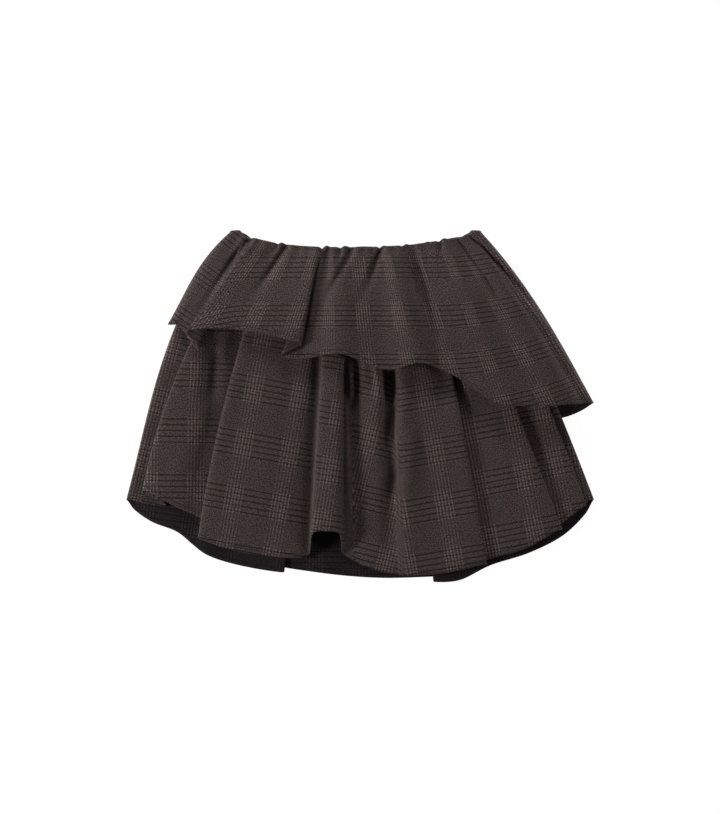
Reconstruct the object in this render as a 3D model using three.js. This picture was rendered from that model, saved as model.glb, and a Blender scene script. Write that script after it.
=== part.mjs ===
// A mini skirt with two tiers of checked suiting on a gathered, elasticated waist, laid flat on its back.
// Millimetres, +Z up. The skirt lies on the plane Z = 0 with its waist towards +Y, and the origin is
// under the middle of it. X runs across the skirt and Y runs from the hem up to the waist.
// Four pieces of cloth are sewn at the waist and at the two side seams: a front and a back for the
// skirt, and a front and a back for the short slanted tier over it, whose top edge turns in as a casing.
import * as THREE from "three";

// Driving sizes
const WALL = 1.2; // thickness of the cloth
const SEAM_GAP = 0.3; // between the edges of two pieces at a side seam
const WAIST_LOW_X = -20; // the waist edge is lowest here
const WAIST_LEFT_X = -155.5;
const WAIST_RIGHT_X = 146;
const WAIST_Y = 189;
const WAIST_CORNER_RISE = 20; // how much higher the waist edge is at the sides
const CASING_DEPTH = 20; // how far the casing reaches down inside
const TIER_INSET = 5; // the skirt's top edge lies this far down inside the casing
const FAN_SLOPE = 0.003; // how much the casing leans outwards for each millimetre from the middle

// Heights of the middle of each wall above the table
const REST_Z = WALL / 2;
const CASING_SPREAD = 1.8; // from a tier's outer layer to the skirt, and on to the casing's inner layer
const SEAM_Z_WAIST = 6.8;
const FRONT_Z_WAIST = 12.8;
const TIER_HEM_Z = 19;
const SKIRT_HEM_Z = 5.8;
const STRAIGHT = 0.8; // straight stretch of wall beside a seam
const LEAST_TURN = 1.2; // least radius of a folded edge

// A side seam's line. waist: where it starts along X. hem: where it ends. bow: how far its middle bows
// to the right. pull: how much more of the bow lies near the waist than near the hem.
const TIER_LEFT = { waist: WAIST_LEFT_X, hem: [-230, 98.5], bow: -7.5, pull: 0.73 };
const TIER_RIGHT = { waist: WAIST_RIGHT_X, hem: [281, 4], bow: 9.5, pull: 0.4 };
const SKIRT_LEFT = { waist: -157.5, hem: [-280, -112], bow: -20.5, pull: 0.56 };
const SKIRT_RIGHT = { waist: 147.2, hem: [281.5, -112], bow: 3.7, pull: 0 };

// Each row below is one line of the cloth that runs from the waist to the hem, from left to right.
// waist, hem and bow: as above. top: how far the cloth is lifted there above its layer's lowest level,
// at the waist, half way and at the hem. A row with a tuck is a fold: the cloth turns under at the edge,
// runs back to the tuck and out again at the lowest level. over: which side of the fold lies on top.
const TIER_FRONT_ROWS = [
  { side: TIER_LEFT, top: [0, -1, -4] },
  {
    over: "right", top: [4, 6, 6.5],
    edge: { waist: -130, hem: [-206.5, 90], bow: 3 },
    tuck: { waist: -138, hem: [-192, 68], bow: 0 },
  },
  { waist: -104, hem: [-163, 93], bow: 0, top: [1, 4, 7] },
  { waist: -77, hem: [-112, 85.5], bow: 0, top: [1, 6, 8] },
  {
    over: "left", top: [5, 7.5, 8.5],
    edge: { waist: -49, hem: [-69, 75], bow: 0 },
    tuck: { waist: -43, hem: [-94, 59], bow: 0 },
  },
  { waist: -39, hem: [-68, 57], bow: 0, top: [0, 0, 0.5] },
  { waist: -30, hem: [-24, 62.5], bow: 0, top: [1.5, 7, 9] },
  { waist: -9, hem: [4, 53.5], bow: 0, top: [1, 4, 4] },
  { waist: 17, hem: [35, 43], bow: 0, top: [0.5, 1, 1.5] },
  { waist: 37, hem: [71, 51.5], bow: 0, top: [2, 8, 9] },
  { waist: 57, hem: [101, 43], bow: 0, top: [0, 2, 4] },
  { waist: 76, hem: [134, 23], bow: 0, top: [1, 3, 2] },
  { waist: 96, hem: [163, 4], bow: 0, top: [2, 7, 6] },
  { waist: 115, hem: [217, 0.5], bow: 2, top: [0, 3, 2] },
  { waist: 130, hem: [254, 3], bow: 5, top: [2, 5, 0] },
  { side: TIER_RIGHT, top: [0, -1, -4] },
];
const TIER_BACK_ROWS = [
  { side: TIER_LEFT, top: [0, 0, 0] },
  { waist: -120, hem: [-173, 82], bow: 0, top: [0, 0, 0] },
  { waist: -60, hem: [-90, 60], bow: 0, top: [0, 0, 0] },
  { waist: 0, hem: [0, 34], bow: 0, top: [0, 0, 0] },
  { waist: 50, hem: [80, 8], bow: 0, top: [0, 0, 0] },
  { waist: 90, hem: [160, -14], bow: 0, top: [0, 0, 0] },
  { waist: 122, hem: [243, -14], bow: 3, top: [0, 0, 0] },
  { side: TIER_RIGHT, top: [0, 0, 0] },
];
const SKIRT_FRONT_ROWS = [
  { side: SKIRT_LEFT, top: [0, 1, 1.5] },
  {
    over: "right", top: [4, 6, 6],
    edge: { waist: -136, hem: [-261, -101], bow: -17 },
    tuck: { waist: -143, hem: [-232, -119.5], bow: -17 },
  },
  { waist: -124, hem: [-215, -123], bow: -12, top: [3, 5, 5] },
  {
    over: "right", top: [4, 7, 8],
    edge: { waist: -104, hem: [-194, -158.5], bow: -10 },
    tuck: { waist: -111, hem: [-168, -143], bow: -8 },
  },
  { waist: -88, hem: [-149, -173], bow: -4, top: [3, 6, 8] },
  { waist: -66, hem: [-107, -180], bow: 0, top: [3, 6, 6] },
  { waist: -49, hem: [-73, -182], bow: 0, top: [3, 5, 4] },
  { waist: -44, hem: [-65, -180], bow: 0, top: [0, 0, 0] },
  { waist: -39.5, hem: [-60, -176], bow: 0, top: [0, 0, 0] },
  { waist: -34.5, hem: [-56, -150], bow: 0, top: [4, 9.5, 17] },
  { waist: -22, hem: [-25, -150], bow: 0, top: [4, 9.5, 17] },
  { waist: -17, hem: [-20.5, -175], bow: 0, top: [0, 0, 1] },
  { waist: -12, hem: [-10, -185], bow: 0, top: [0, 0, 2] },
  { waist: 4, hem: [12, -194.5], bow: 0, top: [4, 9, 6] },
  { waist: 17, hem: [33, -199.5], bow: 3, top: [4, 8, 4.5] },
  { waist: 22, hem: [38, -201], bow: 3, top: [0, 0, 3] },
  { waist: 35, hem: [50, -202], bow: 0, top: [0, 0, 3] },
  { waist: 40, hem: [57, -202.5], bow: 0, top: [4, 8.5, 5] },
  { waist: 60, hem: [97, -200.5], bow: 0, top: [4, 8.5, 8] },
  {
    over: "left", top: [4, 8, 9],
    edge: { waist: 86, hem: [153, -189], bow: 0 },
    tuck: { waist: 93, hem: [131, -190], bow: 0 },
  },
  { waist: 102, hem: [198, -171], bow: 0, top: [3, 5, 7] },
  {
    over: "left", top: [4, 7, 8],
    edge: { waist: 112, hem: [243.5, -147], bow: 0 },
    tuck: { waist: 119, hem: [222, -154], bow: 0 },
  },
  {
    over: "left", top: [3, 5, 5.5],
    edge: { waist: 126, hem: [272.5, -119], bow: 10 },
    tuck: { waist: 134, hem: [265, -124], bow: 10 },
  },
  { side: SKIRT_RIGHT, top: [0, 1, 1.5] },
];
const SKIRT_BACK_ROWS = [
  { side: SKIRT_LEFT, top: [0, 0, 0] },
  { waist: -136, hem: [-250, -139], bow: -17, top: [0, 0, 0] },
  { waist: -124, hem: [-220, -150.5], bow: -10, top: [0, 1, 2] },
  { waist: -108, hem: [-200, -167], bow: -6, top: [0, 0, 0] },
  { waist: -96, hem: [-184, -178.5], bow: -4, top: [0, 1, 2] },
  { waist: -78, hem: [-148, -190.5], bow: 0, top: [0, 0, 0.5] },
  {
    over: "left", top: [3.6, 3.7, 3.7],
    edge: { waist: -53, hem: [-90.5, -199.5], bow: 0 },
    tuck: { waist: -46, hem: [-110, -191.5], bow: 0 },
  },
  { waist: -36, hem: [-71, -197], bow: 0, top: [0, 0, 0] },
  { waist: -12, hem: [-20, -203.5], bow: 0, top: [0, 0, 0] },
  { waist: 12, hem: [31, -206.5], bow: 0, top: [0, 0, 0] },
  {
    over: "right", top: [3.6, 3.7, 3.7],
    edge: { waist: 48, hem: [89, -211], bow: 0 },
    tuck: { waist: 41, hem: [109, -204.5], bow: 0 },
  },
  { waist: 58, hem: [119, -209.5], bow: 0, top: [1, 2, 3] },
  { waist: 76, hem: [157, -191.5], bow: 0, top: [0, 0, 0] },
  { waist: 95, hem: [205, -176], bow: 0, top: [0, 0, 0] },
  { waist: 112, hem: [247, -154], bow: 4, top: [0, 0, 0] },
  { side: SKIRT_RIGHT, top: [0, 0, 0] },
];

// Gathers at the waist. at: where a crease starts along X. lean: how far it moves to the right for each
// millimetre down. deep, wide, reach: its depth, half width and length.
const FRONT_GATHERS = [
  { at: -133, lean: -0.6, deep: 1, wide: 7, reach: 50 },
  { at: -113, lean: -0.5, deep: 0.7, wide: 7, reach: 30 },
  { at: -89, lean: -0.55, deep: 1, wide: 7, reach: 50 },
  { at: -64, lean: -0.2, deep: 0.7, wide: 7, reach: 30 },
  { at: -38, lean: -0.2, deep: 0.9, wide: 7, reach: 30 },
  { at: -9, lean: -0.4, deep: 1, wide: 7, reach: 55 },
  { at: 10, lean: 0, deep: 0.6, wide: 7, reach: 25 },
  { at: 31, lean: -0.35, deep: 1, wide: 7, reach: 48 },
  { at: 57, lean: 0.25, deep: 1.1, wide: 7, reach: 70 },
  { at: 76, lean: 0.1, deep: 0.7, wide: 7, reach: 26 },
  { at: 95, lean: 0.1, deep: 0.9, wide: 7, reach: 30 },
  { at: 114, lean: 0.55, deep: 1, wide: 7, reach: 70 },
  { at: 132, lean: 0.85, deep: 0.9, wide: 7, reach: 60 },
];
const BACK_GATHERS = [
  { at: -118, lean: -0.5, deep: 0.8, wide: 9, reach: 50 },
  { at: -82, lean: -0.3, deep: 0.9, wide: 9, reach: 60 },
  { at: -50, lean: -0.2, deep: 0.7, wide: 9, reach: 40 },
  { at: -14, lean: -0.1, deep: 0.9, wide: 9, reach: 55 },
  { at: 22, lean: 0, deep: 0.7, wide: 9, reach: 45 },
  { at: 56, lean: 0.15, deep: 0.9, wide: 9, reach: 60 },
  { at: 86, lean: 0.3, deep: 0.8, wide: 9, reach: 45 },
  { at: 118, lean: 0.6, deep: 0.8, wide: 9, reach: 50 },
];

// Curves and blends
const clamp = (x, low, high) => Math.min(high, Math.max(low, x));
const mix = (a, b, share) => a + (b - a) * share;
const smooth = (x) => {
  const share = clamp(x, 0, 1);
  return share * share * (3 - 2 * share);
};
// A value that is start at 0, middle at a half and end at 1, on one parabola.
const threeWay = ([start, middle, end], t) =>
  start * (1 - t) * (1 - 2 * t) + middle * 4 * t * (1 - t) + end * t * (2 * t - 1);

// The waist edge seen from above: lowest in the middle and higher at both sides.
function waistLine(x) {
  const half = x < WAIST_LOW_X ? WAIST_LOW_X - WAIST_LEFT_X : WAIST_RIGHT_X - WAIST_LOW_X;
  return WAIST_Y + WAIST_CORNER_RISE * Math.min(1, Math.abs(x - WAIST_LOW_X) / half) ** 2.6;
}

// How deep the creases of the gathers are at a place: 0 on the cloth between them.
function gatherDepth(gathers, x, y) {
  const down = Math.max(0, waistLine(x) - y);
  let depth = 0;
  for (const g of gathers) {
    const across = (x - g.at - g.lean * down) / (g.wide * (1 + down / g.reach));
    depth += g.deep * Math.exp(-across * across - (down / g.reach) ** 2);
  }
  return Math.min(depth, 1.1);
}

// The back tier's hem as a line over X, which the skirt's back steps down from on to the table.
function backTierHem(x) {
  const ends = TIER_BACK_ROWS.map((row) => (row.side ?? row).hem);
  const after = clamp(ends.findIndex((end) => end[0] > x), 1, ends.length - 1);
  const [from, to] = [ends[after - 1], ends[after]];
  return mix(from[1], to[1], clamp((x - from[0]) / (to[0] - from[0]), 0, 1));
}

// The four layers of the laid skirt. base: how high its lowest cloth lies at a place on the table.
// lift: the share of its folds' height that is reached, t of the way from waist to hem.
// gather: what the gathers add to the height, for the casing's inner layer.
const STEP_WIDTH = 28;
const STEP_MARGIN = 16;
const LAYERS = {
  tierBack: {
    rows: TIER_BACK_ROWS, casing: true, faceUp: false, seamEnd: 7.8, step: 20, waistStep: 9,
    levels: [0, 0.15, 0.35, 0.65, 1],
    gather: (x, y) => gatherDepth(BACK_GATHERS, x, y),
    base: (x, y) => REST_Z + gatherDepth(BACK_GATHERS, x, y),
    lift: () => 1,
  },
  skirtBack: {
    rows: SKIRT_BACK_ROWS, casing: false, faceUp: false, seamEnd: 4.6, step: 20, waistStep: 9,
    levels: [0, 0.07, 0.15, 0.23, 0.31, 0.38, 0.45, 0.52, 0.58, 0.64, 0.7, 0.8, 1],
    base: (x, y) => {
      const onTier = smooth((y - backTierHem(x) + STEP_WIDTH + STEP_MARGIN) / STEP_WIDTH);
      return REST_Z + CASING_SPREAD * onTier + gatherDepth(BACK_GATHERS, x, y);
    },
    lift: (t) => smooth((t - 0.07) / 0.12),
  },
  skirtFront: {
    rows: SKIRT_FRONT_ROWS, casing: false, faceUp: true, seamEnd: 4.6, step: 14, waistStep: 5,
    levels: [0, 0.05, 0.1, 0.14, 0.18, 0.22, 0.27, 0.36, 0.5, 0.66, 0.83, 1],
    base: (x, y) => {
      const down = waistLine(x) - y;
      const lowest = mix(FRONT_Z_WAIST - CASING_SPREAD, SKIRT_HEM_Z, smooth(down / 320));
      return lowest - gatherDepth(FRONT_GATHERS, x, y);
    },
    lift: (t) => smooth((t - 0.08) / 0.13),
  },
  tierFront: {
    rows: TIER_FRONT_ROWS, casing: true, faceUp: true, seamEnd: 7.8, step: 12, waistStep: 5,
    levels: [0, 0.08, 0.16, 0.24, 0.34, 0.5, 0.75, 1],
    gather: (x, y) => -gatherDepth(FRONT_GATHERS, x, y),
    base: (x, y) => {
      const down = waistLine(x) - y;
      return mix(FRONT_Z_WAIST, TIER_HEM_Z, smooth(down / 90)) - gatherDepth(FRONT_GATHERS, x, y);
    },
    lift: (t) => smooth(t / 0.3),
  },
};

// A place on a line from the waist to the hem, seen from above.
function along(line, inset, t) {
  const bow = line.bow * (1 + (line.pull ?? 0) * (1 - 2 * t));
  const x = mix(line.waist, line.hem[0], t) + bow * 4 * t * (1 - t);
  return [x, mix(waistLine(line.waist) - inset, line.hem[1], t)];
}

// Points from the upper cloth round the edge, back to the tuck and out again, with z above the base.
// Where the fold is still open the points run on in one direction, and they lap over each other from
// where the tuck has passed under the edge.
const FOLD_LEVELS = [1, 0.8, 0.58, 0.42, 0.2, 0];
function foldPoints(row, inset, t, lift, sink) {
  const [edge, tuck] = [along(row.edge, inset, t), along(row.tuck, inset, t)];
  const sign = row.over === "left" ? 1 : -1;
  const top = lift * threeWay(row.top, t);
  const turn = Math.max(LEAST_TURN, 0.22 * top);
  const closed = clamp((sign * (edge[0] - tuck[0])) / (2 * turn), -1, 1);
  const profile = [-turn, 0, -turn * closed, turn * closed, 0, turn].map((offset, i) => [
    (i < 3 ? edge[0] : tuck[0]) + sign * offset,
    top * FOLD_LEVELS[i] + sink,
  ]);
  // The cloth moves from the edge's place along Y to the tuck's in step with the profile's length.
  const reached = [0];
  for (let i = 1; i < profile.length; i++) {
    const [stepX, stepZ] = [profile[i][0] - profile[i - 1][0], profile[i][1] - profile[i - 1][1]];
    reached.push(reached[i - 1] + Math.hypot(stepX, stepZ));
  }
  const points = profile.map(([x, z], i) => [x, mix(edge[1], tuck[1], reached[i] / reached[5]), z]);
  return sign > 0 ? points : points.reverse();
}

// Points that curl from the flat cloth down, or up, to the side seam, with z above the base.
const FLAT_AFTER_CURL = 4;
function sidePoints(row, layer, inset, t, lift, nest, isLeft) {
  const inward = isLeft ? 1 : -1;
  const up = layer.faceUp ? 1 : -1;
  const [seamX, y] = along(row.side, inset, t);
  const x = seamX + inward * nest;
  const end = mix(SEAM_Z_WAIST, layer.seamEnd, t) + (up * SEAM_GAP) / 2 - layer.base(x, y);
  const bend = end + up * STRAIGHT;
  const flat = lift * threeWay(row.top, t) - up * nest;
  const turn = Math.abs(flat - bend);
  const points = [
    [x, y, end],
    [x, y, bend],
    [x + inward * turn * (1 - Math.SQRT1_2), y, mix(bend, flat, Math.SQRT1_2)],
    [x + inward * turn, y, flat],
    [x + inward * (turn + FLAT_AFTER_CURL), y, flat],
  ];
  return isLeft ? points : points.reverse();
}

// All the points that one section of a layer passes through, t of the way from waist to hem.
// nest: how far inside the layer the section lies.
function sectionPoints(layer, t, nest = 0) {
  const inset = layer.casing ? 0 : TIER_INSET;
  const lift = layer.lift(t);
  const sink = layer.faceUp ? -nest : nest;
  return layer.rows.flatMap((row, i) => {
    if (row.side) return sidePoints(row, layer, inset, t, lift, nest, i === 0);
    if (row.over) return foldPoints(row, inset, t, lift, sink);
    const [x, y] = along(row, inset, t);
    return [[x, y, lift * threeWay(row.top, t) + sink]];
  });
}

// How many steps each stretch between two points takes: more where the gathers need them, and one
// where the points come close together on their way from the waist to the hem.
const PROBES = [0, 0.1, 0.14, 0.18, 0.22, 1];
function stretchSteps(layer) {
  const lengths = PROBES.map((t) => {
    const points = sectionPoints(layer, t);
    return points.slice(1).map((p, i) => Math.hypot(...p.map((value, axis) => value - points[i][axis])));
  });
  return lengths[0].map((atWaist, i) => {
    if (Math.min(...lengths.map((length) => length[i])) < WALL / 2) return 1;
    return clamp(Math.round(Math.max(atWaist / layer.waistStep, lengths.at(-1)[i] / layer.step)), 1, 12);
  });
}

// A centripetal Catmull-Rom curve through the points, with the given steps on each stretch.
function curveThrough(points, steps) {
  const last = points.length - 1;
  const axes = [0, 1, 2];
  const gap = points.slice(1).map((p, i) => Math.sqrt(Math.hypot(...axes.map((a) => p[a] - points[i][a]))));
  const slope = points.map((p, i) =>
    axes.map((a) => {
      const before = i > 0 ? (p[a] - points[i - 1][a]) / gap[i - 1] : null;
      const after = i < last ? (points[i + 1][a] - p[a]) / gap[i] : null;
      if (before === null) return after;
      if (after === null) return before;
      return before + after - (points[i + 1][a] - points[i - 1][a]) / (gap[i - 1] + gap[i]);
    }),
  );
  const curve = [points[0]];
  for (let i = 0; i < last; i++)
    for (let k = 1; k <= steps[i]; k++) {
      const u = k / steps[i];
      const [fromPoint, fromSlope] = [(1 + 2 * u) * (1 - u) ** 2, u * (1 - u) ** 2 * gap[i]];
      const [toPoint, toSlope] = [u * u * (3 - 2 * u), u * u * (u - 1) * gap[i]];
      curve.push(
        axes.map((a) => {
          const left = fromPoint * points[i][a] + fromSlope * slope[i][a];
          return left + toPoint * points[i + 1][a] + toSlope * slope[i + 1][a];
        }),
      );
    }
  return curve;
}

// One section of a layer at its real heights. The back's cloth never dips below what it lies on.
function section(layer, steps, t, nest = 0) {
  const least = layer.faceUp ? -Infinity : 0;
  const curve = curveThrough(sectionPoints(layer, t, nest), steps);
  return curve.map(([x, y, z]) => [x, y, Math.max(least, z) + layer.base(x, y)]);
}

// Unit normals of a grid of points, up on cloth that lies flat. Steps shorter than the wall count less.
function gridNormals(grid) {
  const at = (r, c) => new THREE.Vector3(...grid[r][c]);
  const direction = (from, to) => {
    const step = to.clone().sub(from);
    return step.divideScalar(step.length() + WALL);
  };
  const tangent = (before, here, after) => {
    const sum = new THREE.Vector3();
    if (before) sum.add(direction(before, here));
    if (after) sum.add(direction(here, after));
    return sum;
  };
  return grid.map((row, r) =>
    row.map((_, c) => {
      const here = at(r, c);
      const across = tangent(c > 0 && at(r, c - 1), here, c < row.length - 1 && at(r, c + 1));
      const down = tangent(r > 0 && at(r - 1, c), here, r < grid.length - 1 && at(r + 1, c));
      return down.cross(across).normalize();
    }),
  );
}

// The casing: the tier's top edge rolls over and runs back down inside. Its rows run from the lower
// edge up, over the roll, to just before the outer layer starts.
const ROLL_ANGLES = [135, 90, 45];
function casingRows(layer, steps, outer) {
  const nested = section(layer, steps, 0, 2 * CASING_SPREAD);
  const seamZ = nested[0][2];
  const inner = [CASING_DEPTH, CASING_DEPTH / 2, 0].map((depth) =>
    nested.map(([x, y, z]) => {
      const [px, py] = [x + FAN_SLOPE * (x - WAIST_LOW_X) * depth, y - depth];
      // The seam's edge stays level, so the gathers fade out towards it.
      const height = clamp(Math.abs(z - seamZ) / 2, 0, 1);
      return [px, py, z + height * (layer.gather(px, py) - layer.gather(x, y))];
    }),
  );
  const rolled = ROLL_ANGLES.map((angle) => {
    const turned = THREE.MathUtils.degToRad(angle);
    const [back, out] = [Math.cos(turned), Math.sin(turned)];
    return outer.map((p, c) => {
      const rise = CASING_SPREAD * out;
      return [0, 1, 2].map((a) => mix(nested[c][a], p[a], (1 + back) / 2) + (a === 1 ? rise : 0));
    });
  });
  return [...inner, ...rolled];
}

// A closed wall round a grid of points: both faces half the wall away from it, and rims at its borders.
function wallAround(grid) {
  const normals = gridNormals(grid);
  const [rows, columns] = [grid.length, grid[0].length];
  const positions = [];
  for (const side of [0.5, -0.5])
    for (let r = 0; r < rows; r++)
      for (let c = 0; c < columns; c++) {
        const n = normals[r][c];
        const [x, y, z] = grid[r][c];
        positions.push(x + n.x * side * WALL, y + n.y * side * WALL, z + n.z * side * WALL);
      }
  const index = [];
  const upper = (r, c) => r * columns + c;
  const lower = (r, c) => rows * columns + upper(r, c);
  const end = columns - 1;
  const quad = (a, b, c, d) => index.push(a, b, c, a, c, d);
  for (let r = 0; r < rows - 1; r++)
    for (let c = 0; c < columns - 1; c++) {
      quad(upper(r, c), upper(r + 1, c), upper(r + 1, c + 1), upper(r, c + 1));
      quad(lower(r, c), lower(r, c + 1), lower(r + 1, c + 1), lower(r + 1, c));
    }
  for (let c = 0; c < columns - 1; c++) {
    quad(upper(0, c), upper(0, c + 1), lower(0, c + 1), lower(0, c));
    quad(upper(rows - 1, c + 1), upper(rows - 1, c), lower(rows - 1, c), lower(rows - 1, c + 1));
  }
  for (let r = 0; r < rows - 1; r++) {
    quad(upper(r + 1, 0), upper(r, 0), lower(r, 0), lower(r + 1, 0));
    quad(upper(r, end), upper(r + 1, end), lower(r + 1, end), lower(r, end));
  }
  const geometry = new THREE.BufferGeometry();
  geometry.setAttribute("position", new THREE.Float32BufferAttribute(positions, 3));
  geometry.setIndex(index);
  geometry.computeVertexNormals();
  return geometry;
}

// A piece of cloth: its casing if it has one, and its sections from the waist to the hem.
function clothPiece(name, layer, colour) {
  const steps = stretchSteps(layer);
  const sections = layer.levels.map((t) => section(layer, steps, t));
  const grid = layer.casing ? [...casingRows(layer, steps, sections[0]), ...sections] : sections;
  const material = new THREE.MeshStandardMaterial({ color: colour, roughness: 0.9, metalness: 0 });
  const mesh = new THREE.Mesh(wallAround(grid), material);
  mesh.name = name;
  return mesh;
}

// The laid skirt, from the table up
const skirt = new THREE.Group();
skirt.add(
  clothPiece("overlay_back", LAYERS.tierBack, 0x3f3635),
  clothPiece("skirt_back", LAYERS.skirtBack, 0x3c3433),
  clothPiece("skirt_front", LAYERS.skirtFront, 0x413837),
  clothPiece("overlay_front", LAYERS.tierFront, 0x403736),
);

export default skirt;
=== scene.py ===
"""A short skirt with two tiers of checked suiting, laid flat on a white table and seen from straight above.

Each piece of cloth is one surface of two parameters. Its sections run across the skirt, from the left
side seam to the right one: each is a centripetal Catmull-Rom curve through the points that the rows of
the piece's table reach at t, which runs from 0 at the waist to 1 at the hem. A row's line is straight
from waist to hem but for a bow of 4 t (1 - t), and a fold's row gives six points, from the upper cloth
round the edge, back to the tuck and out again. The height is what the row lifts the cloth by, plus
what the layer lies on and a sum of soft Gaussian dents, less a sum of Gaussian gathers. The wall is
the surface moved half a thickness to each side. Millimetres in the tables, metres in the meshes.
"""

import bpy
import numpy as np
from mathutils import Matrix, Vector


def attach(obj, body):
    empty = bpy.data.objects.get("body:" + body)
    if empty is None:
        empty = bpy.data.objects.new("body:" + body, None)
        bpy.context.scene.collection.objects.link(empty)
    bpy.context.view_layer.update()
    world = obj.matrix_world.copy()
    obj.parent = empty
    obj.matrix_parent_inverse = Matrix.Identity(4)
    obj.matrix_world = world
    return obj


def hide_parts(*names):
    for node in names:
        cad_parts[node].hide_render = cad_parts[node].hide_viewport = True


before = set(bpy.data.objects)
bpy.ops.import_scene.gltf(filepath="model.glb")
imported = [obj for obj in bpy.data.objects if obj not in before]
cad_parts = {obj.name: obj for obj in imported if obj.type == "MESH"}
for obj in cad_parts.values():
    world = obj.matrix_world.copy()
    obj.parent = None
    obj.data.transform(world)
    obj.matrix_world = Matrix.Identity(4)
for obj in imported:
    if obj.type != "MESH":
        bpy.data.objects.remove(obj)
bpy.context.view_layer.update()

# The front of the skirt: a flared panel of glen-checked suiting, gathered into the waist. Laid flat it
# drops into knife folds that lap outwards from the middle, with one raised ridge left of the middle
# and a deep recess right of it. It hangs from the waist casing and is sewn to the back at both sides.
WAIST_LEFT_X, WAIST_LOW_X, WAIST_RIGHT_X = -155.5, -20, 146
WAIST_Y, WAIST_CORNER_RISE, WAIST_POWER = 189, 20, 2.6


def waist_line(x):
    """Y of the waist: its lowest Y, and a power of the distance from there up to both corners."""
    half = np.where(x < WAIST_LOW_X, WAIST_LOW_X - WAIST_LEFT_X, WAIST_RIGHT_X - WAIST_LOW_X)
    return WAIST_Y + WAIST_CORNER_RISE * np.minimum(1, np.abs(x - WAIST_LOW_X) / half) ** WAIST_POWER


def mix(a, b, share):
    return a + (b - a) * share


def smooth(x):
    """The cubic 3 x x - 2 x x x, which goes from 0 to 1 and is level at both ends."""
    share = np.clip(x, 0, 1)
    return share * share * (3 - 2 * share)


def three_way(values, t):
    """The parabola through the values at the waist, halfway down and at the hem."""
    waist, halfway, hem = values
    return waist * (1 - t) * (1 - 2 * t) + halfway * 4 * t * (1 - t) + hem * t * (2 * t - 1)


def table(columns, *rows):
    """Rows of values as dictionaries keyed by the names in columns."""
    return [dict(zip(columns.split(), row)) for row in rows]


def line(waist, hem, bow=0.0, pull=0.0):
    """From an X on the waist to a point of the hem. Pull moves its bow towards the waist."""
    return {"waist": waist, "hem": hem, "bow": bow, "pull": pull}


def rib(waist, hem, bow, top, cloth=0):
    """A ridge or hollow of the cloth. Top is its height at the waist, halfway down and at the hem.

    Cloth is how its stripes lie there: a panel, or the degrees that they are turned by.
    """
    return {"kind": "rib", "line": line(waist, hem, bow), "top": top, "cloth": (cloth, cloth)}


def fold(over, edge, tuck, top, cloth=0, under=None):
    """A knife fold, from its edge back to its tuck. The cloth may lie another way under it."""
    below = cloth if under is None else under
    return {"kind": over, "edge": edge, "tuck": tuck, "top": top, "cloth": (cloth, below)}


def side(seam, top, cloth=0, slant=0.0):
    """The turn to a side seam. Slant is how steeply the hem drops as it leaves the seam."""
    return {"kind": "side", "line": seam, "top": top, "cloth": (cloth, cloth), "slant": slant}


def panel(turn, at):
    """A stretch of cloth that lies flat, its stripes turned, with a crossing of the check at a point."""
    return {"turn": np.radians(turn), "at": at}


DEEPEST_ON_CASING, DEEPEST_BELOW = 4.8, 8.5
BELOW_CASING, CASING_FADE = 19, 24
GATHER_SPREAD = 0.6


def creases(rows, x, y):
    """Depth of the gathers: Gaussians across them, wider and fading down their reach.

    Their sum d is held under the deepest D as D tanh(d / D).
    """
    down = np.maximum(0, waist_line(x) - y)
    depth = 0
    for row in rows:
        wide = row["wide"] * (1 + GATHER_SPREAD * down / row["reach"])
        across = (x - row["at"] - row["lean"] * down) / wide
        depth = depth + row["deep"] * np.exp(-(across**2) - (down / row["reach"]) ** 2)
    deepest = mix(DEEPEST_ON_CASING, DEEPEST_BELOW, smooth((down - BELOW_CASING) / CASING_FADE))
    return deepest * np.tanh(depth / deepest)


DENT_REACH = 0.42


def dents(rows, x, y):
    """Height of soft troughs and ridges from one point to another: Gaussian across, fading at the ends."""
    height = 0
    for row in rows:
        (ax, ay), (bx, by) = row["start"], row["stop"]
        length = np.hypot(bx - ax, by - ay)
        ux, uy = (bx - ax) / length, (by - ay) / length
        along = ((x - ax) * ux + (y - ay) * uy) / length
        across = (x - ax) * uy - (y - ay) * ux
        ends = np.exp(-(((along - 0.5) / DENT_REACH) ** 4))
        height = height + row["high"] * np.exp(-((across / row["wide"]) ** 2)) * ends
    return height


def place(path, inset, t):
    """X and Y of a line at t, where the waist is set in by so much."""
    bow = path["bow"] * (1 + path["pull"] * (1 - 2 * t))
    x = mix(path["waist"], path["hem"][0], t) + bow * 4 * t * (1 - t)
    return x, mix(waist_line(np.float64(path["waist"])) - inset, path["hem"][1], t)


FOLD_HEIGHTS = np.array([1, 0.8, 0.58, 0.42, 0.2, 0])
LEAST_TURN, TURN_FOR_HEIGHT = 1.2, 0.22


def fold_points(row, inset, t, lift, sink):
    """The six points of a fold at every t, as an array of points by t by axis.

    Three go round the edge on a half turn that widens with the fold's height, and three go back
    round the tuck, lower down.
    """
    edge_x, edge_y = place(row["edge"], inset, t)
    tuck_x, tuck_y = place(row["tuck"], inset, t)
    sign = 1 if row["kind"] == "left over" else -1
    top = lift * three_way(row["top"], t)
    turn = np.maximum(LEAST_TURN, TURN_FOR_HEIGHT * top)
    closed = np.clip(sign * (edge_x - tuck_x) / (2 * turn), -1, 1)
    offsets = np.stack([-turn, 0 * turn, -turn * closed, turn * closed, 0 * turn, turn])
    x = np.stack([edge_x] * 3 + [tuck_x] * 3) + sign * offsets
    z = top * FOLD_HEIGHTS[:, None] + sink
    reached = np.cumsum(np.hypot(np.diff(x, axis=0), np.diff(z, axis=0)), axis=0)
    share = np.concatenate([0 * reached[:1], reached]) / reached[-1]
    points = np.stack([x, mix(edge_y, tuck_y, share), z], axis=-1)
    return points if sign > 0 else points[::-1]


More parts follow.
